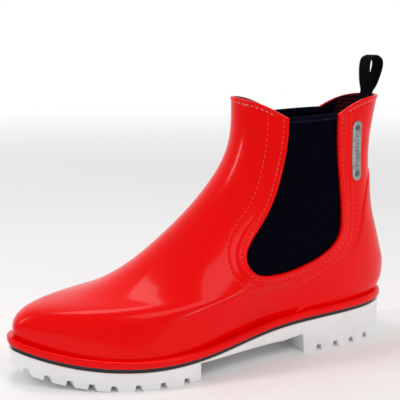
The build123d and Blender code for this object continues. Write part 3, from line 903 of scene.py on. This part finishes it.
def make_gore(side, name):
    """Elastic panel: vertical ribs, lapped behind the rubber round its sides and foot."""
    lean, shift = (GORE_LEAN + INNER_LEAN, INNER_SHIFT) if side == INNER else (GORE_LEAN, 0.0)

    def side_view(params):
        return np.column_stack([params[:, 0] + lean * (params[:, 1] - WINDOW_FOOT), params[:, 1]])

    def place(params):
        return on_side(side, side_view(params), 0.0)

    across = np.arange(GORE_Y[0] + shift, GORE_Y[1] + shift, RIB / 4)
    patch = Patch(across, np.linspace(*GORE_Z, 64), place)
    patch.cut(lambda points: below_rim(points) - ELASTIC_DROP, 0, keep=1)
    patch.cut(lambda points: GORE_LAP - outside_window(points, side), 0, keep=1)
    patch.tidy()
    yz = side_view(patch.params)
    ribs = RIB_HEIGHT * np.cos(2 * math.pi * patch.params[:, 0] / RIB)
    lap = 1 - smooth(-outside_window(patch.points, side) / 3)
    here, normals = side_frame(side, yz, SHELL)
    top = here + normals * (ribs - RIB_HEIGHT - 0.25 * lap)[:, None]
    here, normals = side_frame(side, yz, SHELL + LINING)
    bottom = here + normals * (RIB_HEIGHT + ribs)[:, None]
    return make_object(name + "_elastic", np.vstack([top, bottom]),
                       closed_faces(patch.faces, len(top)), ELASTIC, "boot", "elastic", (name,))


def make_binding(side, name):
    """Tape folded over a gore's top edge, between the window's two sides, with its stitches."""
    line = OUTLINES[side]
    half = len(line) // 2
    ends = []
    for part in (line[:half], line[half:]):
        places = on_side(side, part, 0.0)
        ends.append(part[np.abs(below_rim(places) - 1).argmin()])
    (y0, z0), (y1, z1) = ends
    along = np.linspace(0.012, 0.988, 60)
    path = np.column_stack([y0 + (y1 - y0) * along, z0 + (z1 - z0) * along])
    path[:, 1] += below_rim(on_side(side, path, 0.0))
    radius = (LINING + BINDING_T) / 2
    steps, fold = 9, 0.4
    drop = np.linspace(BINDING_H, fold, steps)
    turns = np.linspace(0, math.pi, steps)[1:-1]
    depths = np.concatenate([np.zeros(steps), radius - radius * np.cos(turns), np.full(steps, 2 * radius)])
    heights = np.concatenate([-drop, -fold + radius * np.sin(turns), -drop[::-1]])
    outward = np.concatenate([np.zeros(steps), turns / math.pi, np.ones(steps)])
    outer_face, inner_face = [], []
    for depth, height, turn in zip(depths, heights, outward):
        spot = path + (0, height)
        flat = path + (0, min(height, 0.0))
        base, normal = side_frame(side, flat, SHELL)
        base = base + (0, 0, 1) * np.maximum(spot[:, 1] - flat[:, 1], 0)[:, None]
        middle = base - normal * (depth - BINDING_T / 2)
        out = normal * math.cos(turn * math.pi) + np.array([0, 0, 1.0]) * math.sin(turn * math.pi)
        weave = 0.03 * np.cos(2 * math.pi * np.arange(len(path)) / 2)[:, None]
        outer_face.append(middle + out * (BINDING_T / 2 + weave))
        inner_face.append(middle - out * BINDING_T / 2)
    rows, columns = len(outer_face), len(path)
    points = np.vstack(outer_face + inner_face)
    tape = make_object(name, points, closed_faces(grid_faces(rows, columns), rows * columns), TAPE,
                       "boot", "binding_tape", (name,))
    here, normals = side_frame(side, path - (0, BINDING_H - TAPE_SEAM), SHELL)
    centres, direction = stitch_row(here + normals * (BINDING_T + 0.08), 2.2)
    points, faces = capsules(centres, direction, normals[nearest(centres, here)], BLACK_STITCH_L,
                             BLACK_STITCH_W, 0.4)
    make_object(name + "_stitching", points, faces, THREAD_BLACK, "boot", "black_thread")
    return tape, run_along(here)[-1]


# ---- welt ---------------------------------------------------------------------------------
def sole_outline(angles, growth):
    """Sole edge points and outward normals in plan, with the outsole's top height there."""
    def at(angle):
        share = (1 - np.cos(angle)) / 2
        outer, inner = np.array(SOLE_OUTER, float), np.array(SOLE_INNER, float)
        across = np.where(np.sin(angle)[:, None] >= 0, outer, inner)
        x = np.sum(across * share_weights(share), axis=1) * np.sin(angle)
        return np.stack([x, Y_HEEL - LENGTH * share], axis=1)
    here = at(angles)
    tangent = unit(at(angles + NUDGE) - at(angles - NUDGE))
    normal = np.stack([-tangent[:, 1], tangent[:, 0]], axis=1)
    inside = np.sum(normal * (here - (0, 20)), axis=1) < 0
    normal = -normal if inside.mean() > 0.5 else normal
    moved = here + normal * growth
    return moved, sole_top(Y_HEEL - moved[:, 1])


# Cross-section of the welt: outwards from the sole's edge, and up from the outsole's top.
WELT_PROFILE = [(-5.6, 2.95), (0.2, 2.95), (0.95, 3.25), (1.35, 3.9), (1.4, 4.6), (1.2, 5.2), (1.25, 5.6),
                (1.35, 6.2), (1.2, 6.9), (0.8, 7.5), (0.1, 7.95), (-1.0, 8.05), (-1.8, 7.8), (-2.8, 7.6),
                (-6.5, 7.6)]


def make_welt():
    """Bulging red band over the sole's edge, with the channel between it and the upper."""
    count, rows = 560, len(WELT_PROFILE)
    angles = (np.arange(count) + 0.5) * 2 * math.pi / count
    rings = []
    for out, up in WELT_PROFILE:
        moved, top = sole_outline(angles, out)
        rings.append(np.column_stack([moved, top + up]))
    faces = [(i * count + j, i * count + (j + 1) % count, (i + 1) % rows * count + (j + 1) % count,
              (i + 1) % rows * count + j) for i in range(rows) for j in range(count)]
    return make_object("welt", np.vstack(rings), faces, RED, "boot", "red_rubber", ("welt_band",),
                       sharp=60)


# ---- what the cloth pieces are cut from ---------------------------------------------------
def declare_cut(piece, outline, rests_on):
    """Works out the size and edges of a cloth piece's flat outline in millimetres, and keeps none of them.
    """
    width, length = (float(size) for size in np.ptp(outline, axis=0) / 1000)
    (x, y), (next_x, next_y) = outline.T, np.roll(outline, -1, axis=0).T
    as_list(rests_on)


# ---- outsole and footbed ------------------------------------------------------------------
def bevelled_copy(node, name, width, material, slot):
    """A CAD node with its corners rounded."""
    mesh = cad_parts[node].data.copy()
    mesh.materials.clear()
    mesh.materials.append(material)
    work = bmesh.new()
    work.from_mesh(mesh)
    bmesh.ops.remove_doubles(work, verts=work.verts, dist=1e-5)
    bmesh.ops.dissolve_limit(work, angle_limit=math.radians(1.0), verts=work.verts, edges=work.edges)
    corners = [e for e in work.edges if len(e.link_faces) == 2 and e.calc_face_angle(0) > math.radians(32)]
    bmesh.ops.bevel(work, geom=corners, offset=width / 1000, segments=2, profile=0.5, affect="EDGES",
                    clamp_overlap=True, offset_type="OFFSET")
    for face in work.faces:
        face.material_index = 0
    work.to_mesh(mesh)
    work.free()
    mesh.shade_smooth()
    mesh.set_sharp_from_angle(angle=math.radians(38))
    return add_piece(name, mesh, "boot", slot, (node,))


def make_footbed():
    """Foam footbed and its cloth cover, shaped to the inside of the boot."""
    rows, columns = 90, 31
    angles = np.linspace(0.06, math.pi - 0.1, rows)

    def inside_at(angle, rise):
        def at(level):
            return wall(np.column_stack([angle, level]), SHELL + LINING + 0.15)

        def under(level):
            point = at(level)
            return point[:, 2] - sole_top(Y_HEEL - point[:, 1]) < rise
        return at(bisect(angle, -0.06, 0.45, under))

    def layer(low, high, name, material, slot, node, dimple):
        left, right = inside_at(angles, high), inside_at(2 * math.pi - angles, high)
        t = np.linspace(0, 1, columns)[None, :, None]
        top = left[:, None] * (1 - t) + right[:, None] * t
        edge = np.minimum(t, 1 - t)[..., 0] * 60
        top[..., 2] = sole_top((Y_HEEL - top[..., 1]).ravel()).reshape(rows, columns) + high
        bottom = top.copy()
        bottom[..., 2] -= high - low
        drape = 0.5 * (1 - smooth(edge / 2))
        top[..., 2] += dimple * np.cos(top[..., 0] / 2.2) * np.cos(top[..., 1] / 2.2) - drape
        points = np.vstack([top.reshape(-1, 3), bottom.reshape(-1, 3)])
        return make_object(name, points, closed_faces(grid_faces(rows, columns), rows * columns),
                           material, "boot", slot, (node,))
    base = STRIPE + BOARD
    cushion = layer(base + 0.1, base + FOAM, "footbed_cushion", SPONGE, "sponge", "footbed_foam", 0.0)
    cloth = layer(base + FOAM + 0.05, base + FOAM + COVER, "footbed_cloth", FOOTBED, "footbed_cloth",
                  "footbed_cover", 0.12)
    rise = base + FOAM + COVER
    outline = np.vstack([inside_at(angles, rise), inside_at(2 * math.pi - angles, rise)[::-1]])[:, :2]
    return cushion, cloth, outline


# ---- badge --------------------------------------------------------------------------------
def badge_axes():
    """The badge's centre, and its directions across, up and outwards."""
    normal = unit(np.array(BADGE_NORMAL))
    across = unit(np.array([-normal[1], normal[0], 0.0]))
    up = np.cross(normal, across)
    turned = across * math.cos(BADGE_TURN) + up * math.sin(BADGE_TURN)
    return np.array(BADGE_AT), turned, np.cross(normal, turned), normal


def badge_field(uv):
    """Signed distance inside the badge's stadium outline."""
    straight = (BADGE_H - BADGE_W) / 2
    off = np.maximum(np.abs(uv[:, 1]) - straight, 0)
    return BADGE_W / 2 - np.hypot(uv[:, 0], off)


def make_badge():
    """Plate with a raised border and inlaid chevrons, and its two domed rivets."""
    centre, across, up, normal = badge_axes()

    def place(params, lift=0.0):
        start = centre + params[:, :1] * across + params[:, 1:] * up + normal * 15
        base = cast(start, -normal, 0.0)
        return base + normal * np.asarray(lift).reshape(-1, 1)

    def inside(points):
        off = points - centre
        return badge_field(np.column_stack([off @ across, off @ up]))

    patch = Patch(np.arange(-4.8, 4.81, 0.3), np.arange(-21.9, 21.91, 0.3), place)
    for at, keep in ((0, 1), (0.4, None), (1.0, None), (1.5, None)):
        patch.cut(inside, at, keep)
    patch.tidy()
    distance = badge_field(patch.params)
    begins, ends = (smooth((distance - at) / BORDER_SOFT) for at in BADGE_BORDER)
    lift = BADGE_T - BADGE_SUNK - edge_round(distance, 0.5) + BORDER_UP * (begins * (1 - ends))
    top, bottom = place(patch.params, lift), place(patch.params, LAYER_GAP)
    plate = make_object("badge", np.vstack([top, bottom]), closed_faces(patch.faces, len(top)), METAL,
                        "boot", "badge_metal", ("badge_plate",), sharp=40)
    rows = np.arange(-CHEVRONS, CHEVRONS + 1) * CHEVRON_STEP
    marks = np.array([(hand * CHEVRON_W / 2, row) for row in rows for hand in (-1, 1)])
    slopes = [hand * across - CHEVRON_SLOPE * up for _ in rows for hand in (-1, 1)]
    inlay, inlay_faces = capsules(place(marks, BADGE_T - 0.13), np.array(slopes),
                                  np.tile(normal, (len(marks), 1)), CHEVRON_L, 0.6, 0.3)
    make_object("badge_inlay", inlay, inlay_faces, BLACK, "boot", "black_rubber")
    points, faces = [], []
    turns, radius = 28, RIVET_HEAD_D / 2
    for rise in (-RIVET_SPAN / 2, RIVET_SPAN / 2):
        foot = place(np.array([[0.0, rise]]), BADGE_T)[0]
        profile = [(radius, -0.5), (radius, 0.15), (radius * 0.93, 0.4), (radius * 0.75, 0.66),
                   (radius * 0.5, 0.84), (radius * 0.25, 0.96), (0.05, RIVET_HEAD_H)]
        faces += tube_faces(len(points), len(profile), turns)
        for out, height in profile:
            for turn in np.arange(turns) * 2 * math.pi / turns:
                points.append(foot + out * (math.cos(turn) * across + math.sin(turn) * up)
                              + normal * height)
    make_object("badge_rivet_heads", points, faces, DARK_METAL, "boot", "badge_metal", ("badge_rivets",),
                sharp=50)
    return plate


# ---- pull loop ----------------------------------------------------------------------------
def make_pull_loop():
    """One strip of webbing: up from inside the ankle, round the hoop and down again."""
    half = curve(HOOP, 60)
    hoop = np.vstack([half * (-1, 1), half[::-1][1:]])
    turned = np.column_stack([hoop[:, 0] * math.cos(LOOP_LEAN) + hoop[:, 1] * math.sin(LOOP_LEAN),
                              hoop[:, 1] * math.cos(LOOP_LEAN) - hoop[:, 0] * math.sin(LOOP_LEAN)])
    turned = turned + (LOOP_Y, HINGE_Z)
    foot = np.arange(HINGE_Z - TAB_DEPTH + 1, HINGE_Z - 1.5, 0.5)
    front_leg = np.column_stack([np.full_like(foot, LOOP_Y - WEBBING_T / 2), foot])
    back_leg = np.column_stack([np.full_like(foot, LOOP_Y + WEBBING_T / 2), foot[::-1]])
    path = np.vstack([front_leg, turned, back_leg])
    length = run_along(path)[-1]
    even = np.arange(0, length, WEAVE_STEP)
    path = points_at(even, path)
    for _ in range(6):
        path[1:-1] = (path[:-2] + 2 * path[1:-1] + path[2:]) / 4
    rows, columns = len(path), 31
    w = np.linspace(-1, 1, columns)
    x = LOOP_X + w * WEBBING_W / 2
    tangent = unit(np.gradient(path, axis=0))
    normal = np.column_stack([-tangent[:, 1], tangent[:, 0]])
    flatness = smooth((path[:, 1] - LEAVES_WALL) / LEAVES_OVER)
    layer = np.where(np.arange(rows) < rows / 2, 1.5, 0.5) * WEBBING_T + 0.05
    grid = np.zeros((rows, columns, 3))
    for i, (y, z) in enumerate(path):
        row = np.column_stack([x, np.full(columns, LOOP_RAYS), np.full(columns, min(z, 184.0))])
        inner_wall = cast(row, (0, 1, 0), SHELL + LINING)[:, 1] - layer[i]
        grid[i] = np.column_stack([x, inner_wall * (1 - flatness[i]) + y * flatness[i], np.full(columns, z)])
    lift = np.concatenate([np.zeros((rows, 1)), normal], axis=1)[:, None, :]
    weave = (np.cos(np.pi * even[:rows, None] / (2 * WEAVE_STEP))
             * np.cos(np.pi * (x[None] - LOOP_X) / WEAVE_ACROSS) * 0.1)
    edge = 0.35 + 0.65 * np.sqrt(np.clip(1 - np.abs(w) ** 8, 0, 1))
    ribs = 0.06 * np.cos(2 * np.pi * (x - LOOP_X) / WEBBING_RIB)
    thick = (WEBBING_T / 2 - 0.16) * edge[None] + (weave + ribs[None]) * (np.abs(w) < 0.93)
    top, bottom = grid + lift * thick[..., None], grid - lift * thick[..., None]
    points = np.vstack([top.reshape(-1, 3), bottom.reshape(-1, 3)])
    strip = make_object("pull_loop_webbing", points, closed_faces(grid_faces(rows, columns), rows * columns),
                        WEBBING, None, "webbing", ("pull_loop", "pull_loop_tab"))
    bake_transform(strip)
    return strip, length


def make_loop_stitches():
    """Box of stitches that holds the webbing's ends to the lining."""
    x0, x1 = LOOP_X - SEWN_BOX_HALF, LOOP_X + SEWN_BOX_HALF
    z0, z1 = HINGE_Z - TAB_DEPTH + SEWN_BOX_FOOT, HINGE_Z - SEWN_BOX_TOP
    corners = [(x0, z0), (x1, z0), (x1, z1), (x0, z1), (x0, z0), (x1, z1), (x1, z0), (x0, z1)]
    rows, inwards = [], np.tile([0, -1.0, 0], (30, 1))
    for (xa, za), (xb, zb) in zip(corners[:-1], corners[1:]):
        t = np.linspace(0, 1, 30)
        x, z = xa + (xb - xa) * t, za + (zb - za) * t
        here = cast(np.column_stack([x, np.full(30, LOOP_RAYS), z]), (0, 1, 0), SHELL + LINING)
        here[:, 1] -= 2 * WEBBING_T + 0.05
        rows.append((here, inwards, 0.0, (BLACK_STITCH_L, BLACK_STITCH_W, 0.5)))
    sew("loop_stitching", rows, 2.0, THREAD_BLACK, "black_thread", ("pull_loop_stitching",))


# ---- build --------------------------------------------------------------------------------
shell = make_shell()
make_rim_stitches()
lining = make_lining()
gores, tapes = {}, {}
for side, side_name in ((OUTER, "outer"), (INNER, "inner")):
    make_gore_stitches(side, side_name + "_gore_stitching")
    gores[side] = make_gore(side, side_name + "_gore")
    tapes[side], tape_length = make_binding(side, side_name + "_gore_binding")
    declare_cut(gores[side], gore_outline(side), shell)
make_welt()
bevelled_copy("outsole", "lugged_outsole", 0.5, WHITE, "white_rubber")
cushion, cloth, footbed_outline = make_footbed()
declare_cut(cloth, footbed_outline, cushion)
make_badge()
webbing, webbing_length = make_pull_loop()
make_loop_stitches()
for node, material in (("midsole_stripe", BLACK), ("insole_board", FIBRE), ("heel_filler", SPONGE),
                       ("rivet_washers", METAL)):
    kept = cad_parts[node]
    kept.data.materials.clear()
    kept.data.materials.append(material)
    for polygon in kept.data.polygons:
        polygon.material_index = 0

# ---- stage, light and camera --------------------------------------------------------------
CAMERA_TARGET = Vector((-0.01725, -0.0014, 0.107))
CAMERA_AZIMUTH, CAMERA_ELEVATION, CAMERA_DISTANCE = math.radians(64), math.radians(10.7), 0.62
CAMERA_LENS = 78.3
FRONT_LIGHT, BACK_LIGHT = 0.42, 1.0
FLOOR_HALF = 6.0


def direction(azimuth, elevation):
    """The way from the boot to a camera or lamp. Azimuth 0 is the toe, 90 degrees the outer side."""
    return Vector((math.sin(azimuth) * math.cos(elevation), -math.cos(azimuth) * math.cos(elevation),
                   math.sin(elevation)))


def aim(item, target):
    item.rotation_euler = (target - item.location).to_track_quat("-Z", "Y").to_euler()


def add_light(name, azimuth, elevation, distance, size, power, target=(0, 0, 0.09)):
    data = bpy.data.lights.new(name, "AREA")
    data.shape, data.size, data.size_y, data.energy = "RECTANGLE", size[0], size[1], power
    lamp = bpy.data.objects.new(name, data)
    lamp.location = Vector(target) + direction(math.radians(azimuth), math.radians(elevation)) * distance
    aim(lamp, Vector(target))
    bpy.context.scene.collection.objects.link(lamp)
    return lamp


floor_mesh = bpy.data.meshes.new("floor")
floor_corners = [(x * FLOOR_HALF, y * FLOOR_HALF, 0) for x, y in ((-1, -1), (1, -1), (1, 1), (-1, 1))]
floor_mesh.from_pydata(floor_corners, [], [(0, 1, 2, 3)])
floor = bpy.data.objects.new("floor", floor_mesh)
bpy.context.scene.collection.objects.link(floor)
pale = Nodes("floor_pale")
pale.ramp(pale.noise(3, 2), [(0.3, (0.90, 0.90, 0.90)), (0.7, (0.92, 0.92, 0.92))], "Base Color")
pale.set(Roughness=0.9, Specular_IOR_Level=0.1)
# The floor fades out towards the surround, so that no horizon shows.
distance = pale.add("ShaderNodeVectorMath", operation="LENGTH")
fade = pale.add("ShaderNodeMapRange", interpolation_type="SMOOTHSTEP")
fill(fade, From_Min=0.25, From_Max=2.2)
clear, mix = pale.add("ShaderNodeBsdfTransparent"), pale.add("ShaderNodeMixShader")
pale.link(pale.place, distance.inputs[0])
pale.link(distance.outputs["Value"], fade.inputs["Value"])
pale.link(fade.outputs["Result"], mix.inputs["Fac"])
pale.link(pale.shader.outputs[0], mix.inputs[1])
pale.link(clear.outputs[0], mix.inputs[2])
pale.link(mix.outputs[0], pale.out.inputs["Surface"])
floor_mesh.materials.append(pale.material)

# A white surround behind the boot, dimmer in front of it, so that only the lights shine on the rubber.
world = bpy.data.worlds.new("studio")
world.use_nodes = True
sky = world.node_tree
facing = sky.nodes.new("ShaderNodeVectorMath")
facing.operation = "DOT_PRODUCT"
facing.inputs[1].default_value = -direction(CAMERA_AZIMUTH, 0)
fade = sky.nodes.new("ShaderNodeMapRange")
fade.interpolation_type = "SMOOTHSTEP"
fill(fade, From_Min=-0.1, From_Max=0.75, To_Min=FRONT_LIGHT, To_Max=BACK_LIGHT)
fill(sky.nodes["Background"], Color=(1, 1, 1, 1))
sky.links.new(sky.nodes.new("ShaderNodeTexCoord").outputs["Generated"], facing.inputs[0])
sky.links.new(facing.outputs["Value"], fade.inputs["Value"])
sky.links.new(fade.outputs["Result"], sky.nodes["Background"].inputs["Strength"])
bpy.context.scene.world = world
bpy.context.scene.view_settings.view_transform = "Standard"

add_light("key", 100, 50, 1.4, (0.9, 0.6), 5.0)
add_light("top", -66, 77, 1.3, (0.4, 0.4), 2.8)
add_light("instep_strip", -14, 30, 1.2, (0.05, 0.7), 3.6)
add_light("side_strip", 110, 4, 1.2, (0.5, 0.03), 1.6)

camera = bpy.data.objects.new("camera", bpy.data.cameras.new("camera"))
camera.data.lens, camera.data.clip_end = CAMERA_LENS, 50
camera.location = CAMERA_TARGET + direction(CAMERA_AZIMUTH, CAMERA_ELEVATION) * CAMERA_DISTANCE
aim(camera, CAMERA_TARGET)
bpy.context.scene.collection.objects.link(camera)
bpy.context.scene.camera = camera
